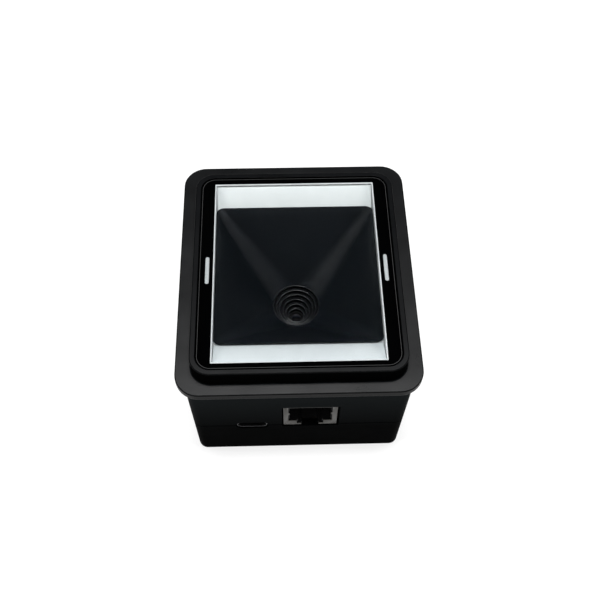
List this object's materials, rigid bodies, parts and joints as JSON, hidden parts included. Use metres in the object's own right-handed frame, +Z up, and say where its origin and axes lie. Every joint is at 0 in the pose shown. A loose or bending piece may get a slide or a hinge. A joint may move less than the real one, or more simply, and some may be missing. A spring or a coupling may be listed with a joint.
{
  "type": "fixed-mount barcode scanner module",
  "caption": "Black flush-mount barcode and QR scanner module with a raised glass window over a light funnel, a panel flange, and network and USB-C sockets.",
  "frame": {"origin": "centre of the base face, which is also under the centre of the flange", "axes": "+Z up out of the window, -Y out of the wall with the sockets, +X to the right seen from the sockets' side"},
  "size_m": [0.068, 0.0784, 0.049],
  "materials": {
    "housing_plastic": "fine spark-eroded texture, satin black",
    "funnel_plastic": "smooth moulded black, low sheen",
    "window_glass": "clear, flat, polished",
    "mask_ink": "black screen print seen through the glass",
    "foam_tape": "black double-sided foam tape",
    "white_plastic": "satin white",
    "diffuser_plastic": "milky, softly glowing white",
    "light_pipe": "frosted translucent",
    "led_phosphor": "yellow phosphor dome",
    "circuit_board": "green solder mask",
    "white_board": "white solder mask",
    "lens_glass": "coated lens, faint violet",
    "filter_glass": "infrared filter, faint green",
    "sensor_glass": "sensor under its cover glass",
    "lens_black": "anti-reflex black",
    "amber_flex": "polyimide flex circuit",
    "white_flex": "flat flexible cable",
    "socket_plastic": "beige connector body",
    "shell_steel": "stamped, tin-plated sheet",
    "insulator_black": "black moulded insulator",
    "contact_gold": "gold-plated contacts",
    "chip_epoxy": "black moulding compound",
    "ferrite": "dark grey ferrite",
    "can_aluminium": "bright can",
    "can_steel": "plain metal lid",
    "screw_steel": "black zinc",
    "insert_brass": "knurled brass"
  },
  "bodies": {
    "root": {"top_housing": "housing_plastic", "lower_cover": "housing_plastic", "window_glass": "window_glass", "window_mask": "mask_ink", "window_tape": "foam_tape", "reflector_frame": "white_plastic", "diffuser_far": "diffuser_plastic", "diffuser_near": "diffuser_plastic", "light_funnel": "funnel_plastic", "led_board_far": "white_board", "led_board_near": "white_board", "led_chips_far": "led_phosphor", "led_chips_near": "led_phosphor", "status_light_pipes": "light_pipe", "status_boards": "circuit_board", "status_leds": "led_phosphor", "lens_front": "lens_glass", "lens_barrel": "lens_black", "lens_holder": "lens_black", "ir_filter": "filter_glass", "image_sensor": "sensor_glass", "camera_board": "circuit_board", "camera_flex": "amber_flex", "camera_sockets": "socket_plastic", "main_board": "circuit_board", "board_sockets": "socket_plastic", "led_cable_far": "white_flex", "led_cable_near": "white_flex", "status_cables": "white_flex", "rj45_shell": "shell_steel", "rj45_insert": "insulator_black", "rj45_contacts": "contact_gold", "usb_shell": "shell_steel", "usb_tongue": "insulator_black", "usb_contacts": "contact_gold", "processor": "chip_epoxy", "memory_chip": "chip_epoxy", "network_transformer": "chip_epoxy", "power_inductor": "ferrite", "capacitors": "can_aluminium", "crystal": "can_steel", "buzzer": "chip_epoxy", "case_screws": "screw_steel", "funnel_screws": "screw_steel", "board_screws": "screw_steel", "camera_screws": "screw_steel", "mount_inserts": "insert_brass"}
  },
  "joints": []
}
